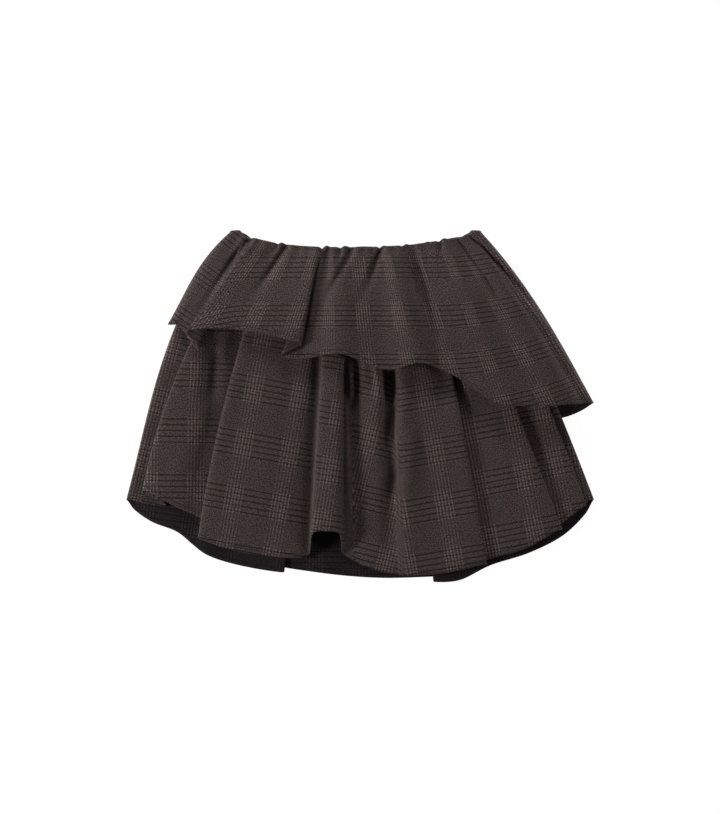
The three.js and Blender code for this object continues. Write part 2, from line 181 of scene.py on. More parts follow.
SIDE_POINTS = 5
SEAM_Z_WAIST, SEAM_GAP = 6.8, 0.3
UPRIGHT_AT_SEAM, LEVEL_BESIDE_TURN = 0.8, 4


def side_points(row, layer, inset, t, lift, nest, is_left):
    """The five points from the seam's edge up a quarter turn, of radius turn, to the level cloth."""
    inward, up = (1 if is_left else -1), (1 if layer["face_up"] else -1)
    seam_x, y = place(row["line"], inset, t)
    x = seam_x + inward * nest
    end = mix(SEAM_Z_WAIST, layer["seam_end"], t) + up * SEAM_GAP / 2 - layer["base"](x, y)
    bend = end + up * UPRIGHT_AT_SEAM
    flat = lift * three_way(row["top"], t) - up * nest
    turn = np.abs(flat - bend)
    half_way = 0.5**0.5
    step = np.stack([0 * turn, 0 * turn, turn * (1 - half_way), turn, turn + LEVEL_BESIDE_TURN])
    height = np.stack([end, bend, mix(bend, flat, half_way), flat, flat])
    points = np.stack([x + inward * step, y - row["slant"] * t * step, height], axis=-1)
    return points if is_left else points[::-1]


TIER_INSET = 5


def section_points(layer, t, nest=0.0):
    """Every point that the layer's sections pass through, and how the cloth lies at each."""
    inset = TIER_INSET if layer["inset"] else 0
    lift = layer["lift"](t)
    sink = -nest if layer["face_up"] else nest
    parts, cloth = [], []
    for number, row in enumerate(layer["rows"]):
        if row["kind"] == "side":
            points = side_points(row, layer, inset, t, lift, nest, number == 0)
        elif row["kind"] == "rib":
            x, y = place(row["line"], inset, t)
            points = np.stack([x, y, lift * three_way(row["top"], t) + sink], axis=-1)[None]
        else:
            points = fold_points(row, inset, t, lift, sink)
        parts.append(points)
        first, last = row["cloth"][::-1] if row["kind"] == "right over" else row["cloth"]
        half = len(points) // 2
        cloth += [first] * (len(points) - half) + [last] * half
    return np.concatenate(parts), cloth


def curve_through(points, steps):
    """Centripetal Catmull-Rom curves through points[k, t], with steps[k] samples on each stretch.

    Each stretch is the cubic with its ends' places and slopes, and each slope comes from the gaps, the
    square roots of the distances, on both sides of its point.
    """
    gap = np.sqrt(np.linalg.norm(np.diff(points, axis=0), axis=-1))[..., None] + 1e-6
    chord = np.diff(points, axis=0) / gap
    middle = chord[:-1] + chord[1:] - (points[2:] - points[:-2]) / (gap[:-1] + gap[1:])
    slope = np.concatenate([chord[:1], middle, chord[-1:]])
    curve = [points[:1]]
    for k, count in enumerate(steps):
        u = (np.arange(1, count + 1) / count)[:, None, None]
        curve.append(
            (1 + 2 * u) * (1 - u) ** 2 * points[k]
            + u * (1 - u) ** 2 * gap[k] * slope[k]
            + u * u * (3 - 2 * u) * points[k + 1]
            + u * u * (u - 1) * gap[k] * slope[k + 1]
        )
    return np.concatenate(curve)


def relaxed(surface, times):
    """The surface with its kinks eased across the columns; the borders stay."""
    for _ in range(times):
        surface[1:-1] += 0.25 * (surface[:-2] + surface[2:] - 2 * surface[1:-1])
    return surface


WAIST_STEP = 1.6


def sections(layer, t, nest=0.0, steps=None):
    """The layer's surface, columns by t by axis, with its samples a stretch and how its cloth lies."""
    points, cloth = section_points(layer, t, nest)
    if steps is None:
        length = np.linalg.norm(np.diff(points[:, [0, -1]], axis=0), axis=-1)
        needed = np.maximum(length[:, 0] / WAIST_STEP, length[:, 1] / layer["step"])
        steps = np.maximum(2, np.round(needed)).astype(int)
    surface = relaxed(curve_through(points, steps), layer["eased"])
    if not layer["face_up"]:
        surface[..., 2] = np.maximum(surface[..., 2], 0)
    surface[..., 2] += layer["base"](surface[..., 0], surface[..., 1])
    return surface, steps, cloth


SHORT_STEP = 0.3


def normals_of(grid):
    """The cross product of the directions down and across, each from the steps on both sides.

    A step counts for less where it is short, so that the wall stays even where rows crowd.
    """

    def direction(axis):
        step = np.diff(grid, axis=axis)
        step /= np.linalg.norm(step, axis=-1, keepdims=True) + SHORT_STEP
        before, after = ([(0, 0)] * axis + [pad] + [(0, 0)] * (2 - axis) for pad in ((0, 1), (1, 0)))
        return np.pad(step, before) + np.pad(step, after)

    normal = np.cross(direction(1), direction(0))
    return normal / np.linalg.norm(normal, axis=-1, keepdims=True)


CROSSING = (10, 15.5)


def panelled(grid, steps, cloth):
    """Where each sample lies in cloth that runs flat through each panel and turns in the folds between.

    Across a panel it is the X of the panel's middle column plus the length of cloth from there, and
    along it the Y, both from the panel's crossing and turned with it. The folds fade one into the next.
    """
    stops = np.concatenate([[0], np.cumsum(steps)])
    column = np.arange(stops[-1] + 1)
    reached = np.zeros(grid.shape[:2])
    reached[1:] = np.cumsum(np.hypot(np.diff(grid[..., 0], axis=0), np.diff(grid[..., 2], axis=0)), axis=0)
    u, v = 0, 0
    for lie in {id(lie): lie for lie in cloth}.values():
        share = smooth(np.interp(column, stops, [float(other is lie) for other in cloth]))[:, None]
        middle = int(round((column * share[:, 0]).sum() / share.sum()))
        x = grid[middle, :, 0] + reached - reached[middle] - lie["at"][0]
        y = grid[..., 1] - lie["at"][1]
        u = u + share * (x * np.cos(lie["turn"]) + y * np.sin(lie["turn"]) + CROSSING[0])
        v = v + share * (y * np.cos(lie["turn"]) - x * np.sin(lie["turn"]) + CROSSING[1])
    return u, v


MM = 0.001
WALL = 1.0


def risen_from_hem(grid):
    """The length of cloth between each sample and the hem, down its column."""
    risen = np.zeros(grid.shape[:2])
    steps = np.linalg.norm(np.diff(grid, axis=1), axis=-1)
    risen[:, :-1] = np.cumsum(steps[:, ::-1], axis=1)[:, ::-1]
    return risen


def cloth_object(name, grid, coordinates, face_up, material):
    """A closed wall round a grid of points, half its thickness to each side along the normals.

    Its UV is the cloth's own coordinates. One attribute marks the wrong side, and one the height
    above the hem.
    """
    columns, rows = grid.shape[:2]
    normal = normals_of(grid)
    points = np.concatenate([grid + normal * WALL / 2, grid - normal * WALL / 2]).reshape(-1, 3) * MM
    number = np.arange(columns * rows * 2).reshape(2, columns, rows)

    def quads(a, b, c, d):
        return np.stack([a, b, c, d], axis=-1).reshape(-1, 4)

    upper, lower = number
    faces = np.concatenate(
        [
            quads(upper[:-1, :-1], upper[:-1, 1:], upper[1:, 1:], upper[1:, :-1]),
            quads(lower[:-1, :-1], lower[1:, :-1], lower[1:, 1:], lower[:-1, 1:]),
            quads(upper[:-1, 0], upper[1:, 0], lower[1:, 0], lower[:-1, 0]),
            quads(upper[1:, -1], upper[:-1, -1], lower[:-1, -1], lower[1:, -1]),
            quads(upper[0, 1:], upper[0, :-1], lower[0, :-1], lower[0, 1:]),
            quads(upper[-1, :-1], upper[-1, 1:], lower[-1, 1:], lower[-1, :-1]),
        ]
    )
    mesh = bpy.data.meshes.new(name)
    mesh.vertices.add(len(points))
    mesh.vertices.foreach_set("co", points.ravel())
    mesh.loops.add(faces.size)
    mesh.loops.foreach_set("vertex_index", faces.ravel())
    mesh.polygons.add(len(faces))
    mesh.polygons.foreach_set("loop_start", np.arange(len(faces)) * 4)
    mesh.update(calc_edges=True)
    flat_uv = np.stack(coordinates, axis=-1).reshape(-1, 2) * MM
    both = np.concatenate([flat_uv, flat_uv])
    mesh.uv_layers.new(name="cloth").data.foreach_set("uv", both[faces.ravel()].ravel())
    face_cells = (columns - 1) * (rows - 1)
    wrong_side = np.zeros(len(faces))
    wrong_side[face_cells : 2 * face_cells] = face_up
    wrong_side[:face_cells] = not face_up
    inside = mesh.attributes.new("wrong_side", "FLOAT", "CORNER")
    inside.data.foreach_set("value", np.repeat(wrong_side, 4))
    above_hem = mesh.attributes.new("above_hem", "FLOAT", "POINT")
    above_hem.data.foreach_set("value", np.tile(risen_from_hem(grid).ravel(), 2))
    mesh.polygons.foreach_set("use_smooth", np.ones(len(faces), dtype=bool))
    mesh.validate()
    piece = bpy.data.objects.new(name, mesh)
    bpy.context.scene.collection.objects.link(piece)
    piece.data.materials.append(material)
    return piece


class Wire:
    """A socket of a material. Arithmetic on it adds the Math node that works it out."""

    def __init__(self, tree, socket):
        self.tree, self.socket = tree, socket

    def math(self, operation, *others, clamp=False):
        settings = {"operation": operation, "use_clamp": clamp}
        return node(self.tree, "ShaderNodeMath", settings, dict(enumerate((self, *others))))

    def __add__(self, other):
        return self.math("ADD", other)

    def __sub__(self, other):
        return self.math("SUBTRACT", other)

    def __mul__(self, other):
        return self.math("MULTIPLY", other)

    def __truediv__(self, other):
        return self.math("DIVIDE", other)

    def __rsub__(self, other):
        return self.math("MULTIPLY_ADD", -1.0, other)

    __radd__, __rmul__ = __add__, __mul__

    def near(self, middle, reach, soft):
        """1 within reach of the middle, falling to 0 over soft."""
        return ((reach - (self - middle).math("ABSOLUTE")) / soft).math("ADD", 0.5, clamp=True)

    def stripes(self, pitch, share, soft):
        """1 along the middle of every stretch of the pitch, over twice the share of it."""
        return (self / pitch).math("FRACT").near(0.5, share, soft)


def feed(tree, slot, value):
    if isinstance(value, Wire):
        tree.links.new(value.socket, slot)
    elif isinstance(value, tuple) and len(value) == 3 and slot.type == "RGBA":
        slot.default_value = (*value, 1.0)
    else:
        slot.default_value = value


def node(tree, kind, settings=None, values=None, output=0):
    """One node of the given kind, its settings, and its inputs by name or number."""
    made = tree.nodes.new(kind)
    for key, value in (settings or {}).items():
        setattr(made, key, value)
    for key, value in (values or {}).items():
        feed(tree, made.inputs[key], value)
    return Wire(tree, made.outputs[output])


def blend(tree, share, first, second, way="MIX"):
    """The second colour mixed into the first, or multiplied with it, by a share."""
    settings = {"data_type": "RGBA", "blend_type": way}
    return node(tree, "ShaderNodeMix", settings, {"Factor": share, 6: first, 7: second}, output=2)


UPRIGHT_REPEAT, UPRIGHT_BAND, UPRIGHT_PITCH = 48.0, 20.0, 3.33
LEVEL_REPEAT, LEVEL_BAND, LEVEL_PITCH = 60.0, 31.0, 6.2
STITCHES_ABOVE_HEM = 5.5
# Painted shade on the wrong side: slight where the fold returns of the face-up pieces show it, deep and a
# little blue over the inside of the face-down pieces, which lies in shade.
RETURN_PAINTED_SHADE = (0.8, 0.8, 0.82)
INSIDE_PAINTED_SHADE = (0.26, 0.26, 0.32)


def suiting(name, shift, width, height, wrong_side_painted_shade):
    """Glen-checked suiting: bands of light uprights cross bands of dark level lines.

    Flecks and weave are noise, finer than the lines.
    """
    material = bpy.data.materials.new(name)
    material.use_nodes = True
    tree = material.node_tree
    shader = tree.nodes["Principled BSDF"]
    uv = node(tree, "ShaderNodeUVMap", {"uv_map": "cloth"})
    u, v = (node(tree, "ShaderNodeSeparateXYZ", values={"Vector": uv}, output=axis) for axis in (0, 1))
    u = u * (UPRIGHT_REPEAT / (width * MM)) + shift
    v = v * (LEVEL_REPEAT / (height * MM))

    def noise(scale, detail, stretch=(1.0, 1.0, 1.0)):
        spot = node(tree, "ShaderNodeMapping", values={"Vector": uv, "Scale": stretch})
        values = {"Vector": spot, "Scale": scale, "Detail": detail, "Roughness": 0.6}
        return node(tree, "ShaderNodeTexNoise", values=values)

    def mark(name):
        return node(tree, "ShaderNodeAttribute", {"attribute_name": name}, output=2)

    # Where the bands, their lines and the threads between them run.
    across = (u / UPRIGHT_REPEAT).math("FRACT") * UPRIGHT_REPEAT
    down = (v / LEVEL_REPEAT).math("FRACT") * LEVEL_REPEAT
    upright = across.near(UPRIGHT_BAND / 2, UPRIGHT_BAND / 2, 1.0)
    strongest = across.near(UPRIGHT_BAND / 2, UPRIGHT_BAND / 3, 8.0)
    greenish = across.near(UPRIGHT_BAND + 6.0, 6.0, 5.0)
    level = down.near(LEVEL_BAND / 2, LEVEL_BAND / 2, 0.8)
    light_line = across.stripes(UPRIGHT_PITCH, 0.22, 0.2)
    faint_line = across.stripes(UPRIGHT_PITCH / 2, 0.25, 0.3)
    dark_line = down.stripes(LEVEL_PITCH, 0.115, 0.1)
    faint_level = down.stripes(LEVEL_PITCH / 4, 0.25, 0.3)
    dots = down.stripes(LEVEL_PITCH / 2, 0.26, 0.2)
    fleck = (noise(900.0, 1.0, (1.0, 0.8, 1.0)) - 0.5).math("MULTIPLY_ADD", 5.0, 0.5, clamp=True)
    stitched = mark("above_hem").near(STITCHES_ABOVE_HEM, 0.5, 0.6)

    # The dyed threads, laid over one another from the ground up, then what dims or flecks them, and painted
    # shade.
    colour = blend(tree, greenish, (0.053, 0.038, 0.036), (0.049, 0.039, 0.035))
    colour = blend(tree, faint_line * 0.55, colour, (0.084, 0.062, 0.056))
    colour = blend(tree, level * (0.25 + faint_level * 0.3), colour, (0.080, 0.058, 0.053))
    colour = blend(tree, level * dark_line * 0.88, colour, (0.010, 0.008, 0.009))
    colour = blend(tree, upright * 0.25, colour, (0.022, 0.017, 0.018))
    bright = upright * light_line * (0.3 + dots * 0.7) * (0.2 + strongest * 0.22 + level * 0.33)
    colour = blend(tree, bright, colour, (0.215, 0.160, 0.141))
    flecked = blend(tree, fleck, (0.22, 0.20, 0.21), (1.80, 1.76, 1.75))
    colour = blend(tree, 1.0 - level * dark_line * 0.6, colour, flecked, "MULTIPLY")
    cloudy = blend(tree, noise(40.0, 2.0), (0.9, 0.9, 0.92), (1.1, 1.1, 1.08))
    colour = blend(tree, 1.0, colour, cloudy, "MULTIPLY")
    colour = blend(tree, stitched, colour, (0.45, 0.45, 0.45), "MULTIPLY")
    # Painted shade: the wrong side is darkened by the piece's shade colour.
    colour = blend(tree, mark("wrong_side"), colour, wrong_side_painted_shade, "MULTIPLY")
    weave = noise(1600.0, 2.0, (1.0, 0.5, 1.0))
    bump = node(tree, "ShaderNodeBump", values={"Strength": 0.25, "Distance": 0.0004, "Height": weave})
    finish = {
        "Base Color": colour,
        "Normal": bump,
        "Roughness": 0.85,
        "Sheen Weight": 0.06,
        "Sheen Roughness": 0.5,
        "Specular IOR Level": 0.2,
    }
    for slot, value in finish.items():
        feed(tree, shader.inputs[slot], value)
    return material


FRONT_GATHERS = table(
    "at lean deep wide reach",
    (-131, -0.62, 5.5, 3.4, 80),
    (-118, -0.6, 1.6, 4, 30),
    (-104, -0.5, 1.4, 4.5, 26),
    (-98, -0.55, 2.6, 2.4, 14),
    (-87, -0.58, 8.5, 3.2, 48),
    (-72, -0.3, 1.6, 4.5, 34),
    (-60, -0.2, 1.2, 4, 22),
    (-47, -0.12, 3.0, 2.4, 16),
    (-37, -0.3, 3.6, 2.6, 18),
    (-23, -0.25, 3.6, 2.6, 15),
    (-9, -0.5, 8.5, 3.2, 42),
    (6, -0.2, 1.8, 3.4, 20),
    (16, 0.0, 1.6, 2.8, 12),
    (27, -0.4, 8.5, 3.2, 42),
    (41, 0.1, 2.0, 3.2, 16),
    (61, 0.22, 13.0, 5.6, 92),
    (78, 0.2, 1.8, 4.5, 30),
    (97, 0.05, 4.2, 2.6, 16),
    (116, 0.62, 7.0, 3.0, 90),
    (130, 0.88, 6.5, 2.8, 95),
)
SKIRT_LEFT = line(-157.5, (-280, -112), -20.5, 0.56)
SKIRT_RIGHT = line(147.2, (281.5, -112), 3.7)
SKIRT_FRONT_WRINKLES = table(
    "start stop high wide",
    ((-200, -20), (-225, -100), 0.8, 9),
    ((-130, 60), (-165, -90), -0.9, 12),
    ((-100, 40), (-125, -150), 0.8, 14),
    ((-80, 70), (-90, -20), -0.7, 8),
    ((-172, 84), (-182, 0), -7.0, 10),
    ((-20.5, 62), (-19.5, -150), -2.5, 2.8),
    ((-13.5, 60), (-8, 0), 5.0, 4),
    ((-2, 60), (-7, -20), -5.0, 5),
    ((19, 62), (26, 2), 6.0, 4.5),
    ((34, 62), (39, 6), -7.5, 9.5),
    ((46, 16), (34, -52), -6.5, 6),
    ((52, -64), (31, -118), -3.2, 8),
    ((31, -105), (35, -185), -2.6, 8),
    ((64, -20), (58, -110), 2.0, 9),
    ((98, 78), (110, 4), -6.5, 19),
    ((90, 20), (128, -150), -0.9, 12),
    ((75, 40), (85, -60), 0.8, 9),
    ((160, 0), (185, -110), 0.8, 9),
    ((215, -20), (240, -90), 0.6, 6),
)


FRONT_Z_WAIST, CASING_SPREAD = 15.5, 1.8
SKIRT_HEM_Z, SKIRT_SETTLES_OVER = 5.8, 320


def skirt_front_base(x, y):
    """The height under the skirt's front: level with the casing, and down to the back at the hem."""
    down = waist_line(x) - y
    lowest = mix(FRONT_Z_WAIST - CASING_SPREAD, SKIRT_HEM_Z, smooth(down / SKIRT_SETTLES_OVER))
    return lowest - creases(FRONT_GATHERS, x, y) + dents(SKIRT_FRONT_WRINKLES, x, y)


FRONT_LEFT_SIDE = panel(-14, (-262, -60))
FRONT_PANEL_1 = panel(-1, (-197, -31))
FRONT_PANEL_2 = panel(-10.5, (-153, -112))
FRONT_RIDGE = panel(-9, (-37, -77))
FRONT_HOLLOW = panel(-14, (8, -42))
FRONT_PANEL_5 = panel(10, (89, -55))
FRONT_PANEL_6 = panel(11, (196, -85))
FRONT_PANEL_7 = panel(11, (232, -70))
FRONT_RIGHT_SIDE = panel(12, (262, -60))
skirt_front = {
    "face_up": True,
    "inset": True,
    "seam_end": 4.6,
    "step": 2.4,
    "eased": 3,
    "base": skirt_front_base,
    "lift": lambda t: smooth((t - 0.08) / 0.13),
    "rows": [
        side(SKIRT_LEFT, (0, 1, 1.5), FRONT_LEFT_SIDE),
        rib(-139, (-266, -114.5), -17, (0, 0, 0), FRONT_LEFT_SIDE),
        fold(
            "right over",
            line(-136, (-261, -101), -17),
            line(-143, (-232, -119.5), -17),
            (4, 10, 8),
            FRONT_PANEL_1,
            FRONT_LEFT_SIDE,
        ),
        rib(-124, (-215, -123), -12, (3, 8, 5), FRONT_PANEL_1),
        rib(-111, (-201, -129), -9, (1, 2, 2), FRONT_PANEL_1),
        fold(
            "right over",
            line(-104, (-194, -158.5), -10),
            line(-111, (-168, -143), -8),
            (4, 12, 9),
            FRONT_PANEL_2,
            FRONT_PANEL_1,
        ),
        rib(-88, (-149, -173), -4, (3, 9, 8), FRONT_PANEL_2),
        rib(-66, (-107, -180), 0, (3, 6, 5), FRONT_PANEL_2),
        rib(-49, (-73, -182), 0, (3, 3, 3), FRONT_PANEL_2),
        rib(-44, (-64, -180.5), 0, (0, 0, 0), FRONT_PANEL_2),
        rib(-38, (-60.5, -178), 0, (0, 0, 0), FRONT_RIDGE),
        rib(-36.3, (-58.5, -165), 0, (2, 7, 9.5), FRONT_RIDGE),
        rib(-34.5, (-56, -150.5), 0, (4, 13, 17.2), FRONT_RIDGE),
        rib(-31, (-51, -149), 0, (4, 14, 18.5), FRONT_RIDGE),
        rib(-25, (-29, -149.5), 0, (4, 14, 18.5), FRONT_RIDGE),
        rib(-22, (-24, -151), 0, (4, 13, 17.2), FRONT_RIDGE),
        rib(-19.5, (-21.5, -166), 0, (2, 7, 9.5), FRONT_RIDGE),
        rib(-17, (-20, -177), 0, (0, 0, 0), FRONT_RIDGE),
        rib(-12, (-5, -186), 0, (0, 0, 0), FRONT_HOLLOW),
        rib(4, (13, -194.5), 0, (4, 6, 2), FRONT_HOLLOW),
        rib(17, (30, -199), 0, (4, 7, 2), FRONT_HOLLOW),
        rib(22, (37, -201), 0, (1, 3, 2), FRONT_HOLLOW),
        rib(32, (46, -202), 0, (0, 0, 2), FRONT_HOLLOW),
        rib(40, (57, -202.5), 0, (4, 11, 5), FRONT_PANEL_5),
        rib(60, (97, -200.5), 0, (4, 6.5, 7), FRONT_PANEL_5),
        fold(
            "left over",
            line(86, (153, -189)),
            line(93, (131, -190)),
            (4, 8.5, 8),
            FRONT_PANEL_5,
            FRONT_PANEL_6,
        ),
        rib(94, (161, -181.5), 0, (1, 1, 2), FRONT_PANEL_6),
        rib(102, (198, -171), 0, (3, 4.5, 6), FRONT_PANEL_6),
        fold(
            "left over",
            line(112, (243.5, -147)),
            line(119, (222, -154)),
            (4, 7.5, 7),
            FRONT_PANEL_6,
            FRONT_PANEL_7,
        ),
        rib(120, (249, -135.7), 4, (1, 1, 2), FRONT_PANEL_7),
        fold(
            "left over",
            line(126, (272.5, -119), 10),
            line(134, (265, -124), 10),
            (3, 4.5, 4.5),
            FRONT_PANEL_7,
            FRONT_RIGHT_SIDE,
        ),
        side(SKIRT_RIGHT, (0, 1, 1.5), FRONT_RIGHT_SIDE),
    ],
}
ROWS_OF_SKIRT = np.linspace(0, 1, 110)
SKIRT_REPEAT = (56, 67)
surface, steps, cloth = sections(skirt_front, ROWS_OF_SKIRT)
skirt_front_piece = cloth_object(
    "skirt_front_panel",
    surface,
    panelled(surface, steps, cloth),
    True,
    suiting("suiting of the skirt's front", 0.0, *SKIRT_REPEAT, RETURN_PAINTED_SHADE),
)
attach(skirt_front_piece, "root")
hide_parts("skirt_front")

# The back of the skirt: the same flared panel of suiting, lying on the table with its inside up. It
# shows below the front's hem, with two folds pressed flat, and near the waist it rests on the short
# tier's back. It is sewn to the front at both sides.
BACK_GATHERS = table(
    "at lean deep wide reach",
    (-118, -0.5, 0.8, 9, 50),
    (-82, -0.3, 0.9, 9, 60),
    (-50, -0.2, 0.7, 9, 40),
    (-14, -0.1, 0.9, 9, 55),
    (22, 0.0, 0.7, 9, 45),
    (56, 0.15, 0.9, 9, 60),
    (86, 0.3, 0.8, 9, 45),
    (118, 0.6, 0.8, 9, 50),
)
REST_Z = 0.6
STEP_WIDTH, STEP_MARGIN = 28, 16
TIER_BACK_HEM_X = (-230, -173, -90, 0, 80, 160, 243, 281)
TIER_BACK_HEM_Y = (98.5, 82, 60, 34, 8, -14, -14, 4)


def skirt_back_base(x, y):
    """The height under the skirt's back: on the table, with a smooth step up on to the short tier."""
    hem_y = np.interp(x, TIER_BACK_HEM_X, TIER_BACK_HEM_Y)
    on_tier = smooth((y - hem_y + STEP_WIDTH + STEP_MARGIN) / STEP_WIDTH)
    return REST_Z + CASING_SPREAD * on_tier + creases(BACK_GATHERS, x, y)


BACK_LEFT = panel(-8, (-150, -150))
BACK_MIDDLE = panel(0, (0, -190))
BACK_RIGHT = panel(10, (180, -170))
skirt_back = {
    "face_up": False,
    "inset": True,
    "seam_end": 4.6,
    "step": 4.0,
    "eased": 2,
    "base": skirt_back_base,
    "lift": lambda t: smooth((t - 0.07) / 0.12),
    "rows": [
        side(SKIRT_LEFT, (0, 0, 0), BACK_LEFT, slant=1.5),
        rib(-136, (-250, -139), -17, (0, 0, 0), BACK_LEFT),
        rib(-124, (-220, -150.5), -10, (0, 1, 2), BACK_LEFT),
        rib(-108, (-200, -167), -6, (0, 0, 0), BACK_LEFT),
        rib(-96, (-184, -178.5), -4, (0, 1, 2), BACK_LEFT),
        rib(-78, (-148, -190.5), 0, (0, 0, 0.5), BACK_LEFT),
        fold(
            "left over",
            line(-53, (-90.5, -199.5)),
            line(-46, (-110, -191.5)),
            (3.6, 3.7, 3.7),
            BACK_LEFT,
            BACK_MIDDLE,
        ),
        rib(-36, (-71, -197), 0, (0, 0, 0), BACK_MIDDLE),
        rib(-12, (-20, -203.5), 0, (0, 0, 0), BACK_MIDDLE),
        rib(12, (31, -206.5), 0, (0, 0, 0), BACK_MIDDLE),
        fold(
            "right over",
            line(48, (89, -211)),
            line(41, (109, -204.5)),
            (3.6, 3.7, 3.7),
            BACK_RIGHT,
            BACK_MIDDLE,
        ),
        rib(58, (119, -209.5), 0, (1, 2, 3), BACK_RIGHT),
        rib(76, (157, -191.5), 0, (0, 0, 0), BACK_RIGHT),
        rib(95, (205, -176), 0, (0, 0, 0), BACK_RIGHT),
        rib(112, (247, -154), 4, (0, 0, 0), BACK_RIGHT),
        side(SKIRT_RIGHT, (0, 0, 0), BACK_RIGHT, slant=2.0),
    ],
}
surface, steps, cloth = sections(skirt_back, ROWS_OF_SKIRT)
skirt_back_piece = cloth_object(
    "skirt_back_panel",
    surface,
    panelled(surface, steps, cloth),
    False,
    suiting("suiting of the skirt's back", 0.0, *SKIRT_REPEAT, INSIDE_PAINTED_SHADE),
)
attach(skirt_back_piece, "root")
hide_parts("skirt_back")

# The front of the short tier: a slanted flared panel of the same suiting over the skirt's front. Its top
# edge turns in as the casing that holds the elastic, and its sides are sewn to the back. One deep fold
# laps left over right beside its middle.
TIER_LEFT = line(WAIST_LEFT_X, (-230, 98.5), -7.5, 0.73)
TIER_RIGHT = line(WAIST_RIGHT_X, (281, 4), 9.5, 0.4)
TIER_WRINKLES = table(
    "start stop high wide",
    ((-95, 180), (-120, 120), 0.8, 7),
    ((60, 180), (76, 110), -1.6, 6),
    ((150, 150), (185, 85), -0.8, 8),
    ((-20, 160), (-15, 90), 0.7, 8),
    ((-46.2, 186), (-66.6, 74), -4.5, 2.6),
)
CASING_DEPTH, CASING_FAN = 20, 0.003


def with_casing(layer, grid, gathers, steps):
    """The outer layer's grid with the casing's roll and inner layer before its waist end.

    The roll is a half turn from the layer's waist to the same section nested within it, and the inner
    layer runs down from there with the gathers' change of depth, less near the seams.
    """
    nested = sections(layer, np.array([0.0, 1e-3]), 2 * CASING_SPREAD, steps)[0][:, 0]
    sign = -1 if layer["face_up"] else 1
    depths = np.linspace(CASING_DEPTH, 0, 9)
    x, y, z = (nested[:, None, axis] for axis in range(3))
    inner_x = x + CASING_FAN * (x - WAIST_LOW_X) * depths
    inner_y = y - depths
    height = np.clip(np.abs(z - nested[0, 2]) / 2, 0, 1)
    change = creases(gathers, inner_x, inner_y) - creases(gathers, x, y)
    inner = np.stack([inner_x, inner_y, z + sign * height * change], axis=-1)
    angle = np.radians(np.arange(157.5, 0, -22.5))[None, :, None]
    rolled = mix(nested[:, None], grid[:, :1], (1 + np.cos(angle)) / 2)
    rolled[..., 1] += CASING_SPREAD * np.sin(angle[..., 0])
    return np.concatenate([inner, rolled, grid], axis=1)


WAIST_BUMPS = table(
    "at high wide",
    (-131, -2.0, 3.0),
    (-98, -1.2, 2.5),
    (-93, 1.4, 3.0),
    (-45, -2.2, 2.5),
    (-39, 1.6, 2.6),
    (-23, -1.2, 2.6),
    (-17, 1.4, 3.0),
    (5, 0.6, 6.0),
    (24, -1.8, 2.5),
    (29, 1.0, 3.0),
    (51, -1.2, 3.0),
    (56, 1.2, 2.6),
    (81, 0.8, 2.6),
    (95, -1.2, 2.6),
    (101, 1.6, 3.0),
    (122, -0.8, 3.0),
)
BUMP_REACH = 9


def bumped(grid):
    """The grid with its waist edge moved up and down by Gaussian scallops between the gathers."""
    x, y = grid[..., 0], grid[..., 1]
    rise = sum(row["high"] * np.exp(-(((x - row["at"]) / row["wide"]) ** 2)) for row in WAIST_BUMPS)
    grid[..., 1] = y + rise * np.exp(-(((waist_line(x) - y) / BUMP_REACH) ** 2))
    return grid


CHECK_SHIFT_Y = 23
RISE_FROM_X, RISE, DROP_FROM_X, DROP = 90, 0.0012, -130, 0.003
ROWS_UP_FROM_HEM = 6


def fanned(grid, steps, cloth):
    """Where each sample lies in cloth whose uprights fan out with the ribs.

    Across, it is the length along the hem, square to the cloth just above it, turned by the row's
    degrees. The level lines follow Y, with a parabola up towards the right and one down towards the
    left. Left of the first fold they stay square to the uprights, and run up from the hem.
    """
    stops = np.concatenate([[0], np.cumsum(steps)])
    column = np.arange(stops[-1] + 1)
    turn = np.radians(np.interp(column, stops, cloth))
    hem = grid[:, -1]
    up = grid[:, -1 - ROWS_UP_FROM_HEM] - hem
    up /= np.linalg.norm(up, axis=-1, keepdims=True)
    step = np.diff(hem, axis=0)
    along = (step * (up[1:] + up[:-1]) / 2).sum(-1)
    across = np.sqrt(np.maximum((step**2).sum(-1) - along**2, 0))
    angle = (turn[1:] + turn[:-1]) / 2
    right = np.append(0, np.cumsum(across * np.cos(angle) - along * np.sin(angle)))
    ahead = np.append(0, np.cumsum(across * np.sin(angle) + along * np.cos(angle)))
    risen = risen_from_hem(grid)
    x, y = grid[..., 0], grid[..., 1]
    rise = RISE * np.maximum(x - RISE_FROM_X, 0) ** 2
    drop = DROP * np.maximum(DROP_FROM_X - x, 0) ** 2
    beside_tuck = column[:, None] < stops[SIDE_POINTS + len(FOLD_HEIGHTS) // 2]
    square = ahead[:, None] + risen * np.cos(turn)[:, None]
    level = np.where(beside_tuck, square, y + CHECK_SHIFT_Y - rise + drop)
    return right[:, None] - risen * np.sin(turn)[:, None], level


TIER_HEM_Z, TIER_RISES_OVER = 25, 90


def tier_front_base(x, y):
    """The height under the short tier's front: up from the casing, to lie over the skirt's folds."""
    down = waist_line(x) - y
    lowest = mix(FRONT_Z_WAIST, TIER_HEM_Z, smooth(down / TIER_RISES_OVER))
    return lowest - creases(FRONT_GATHERS, x, y) + dents(TIER_WRINKLES, x, y)


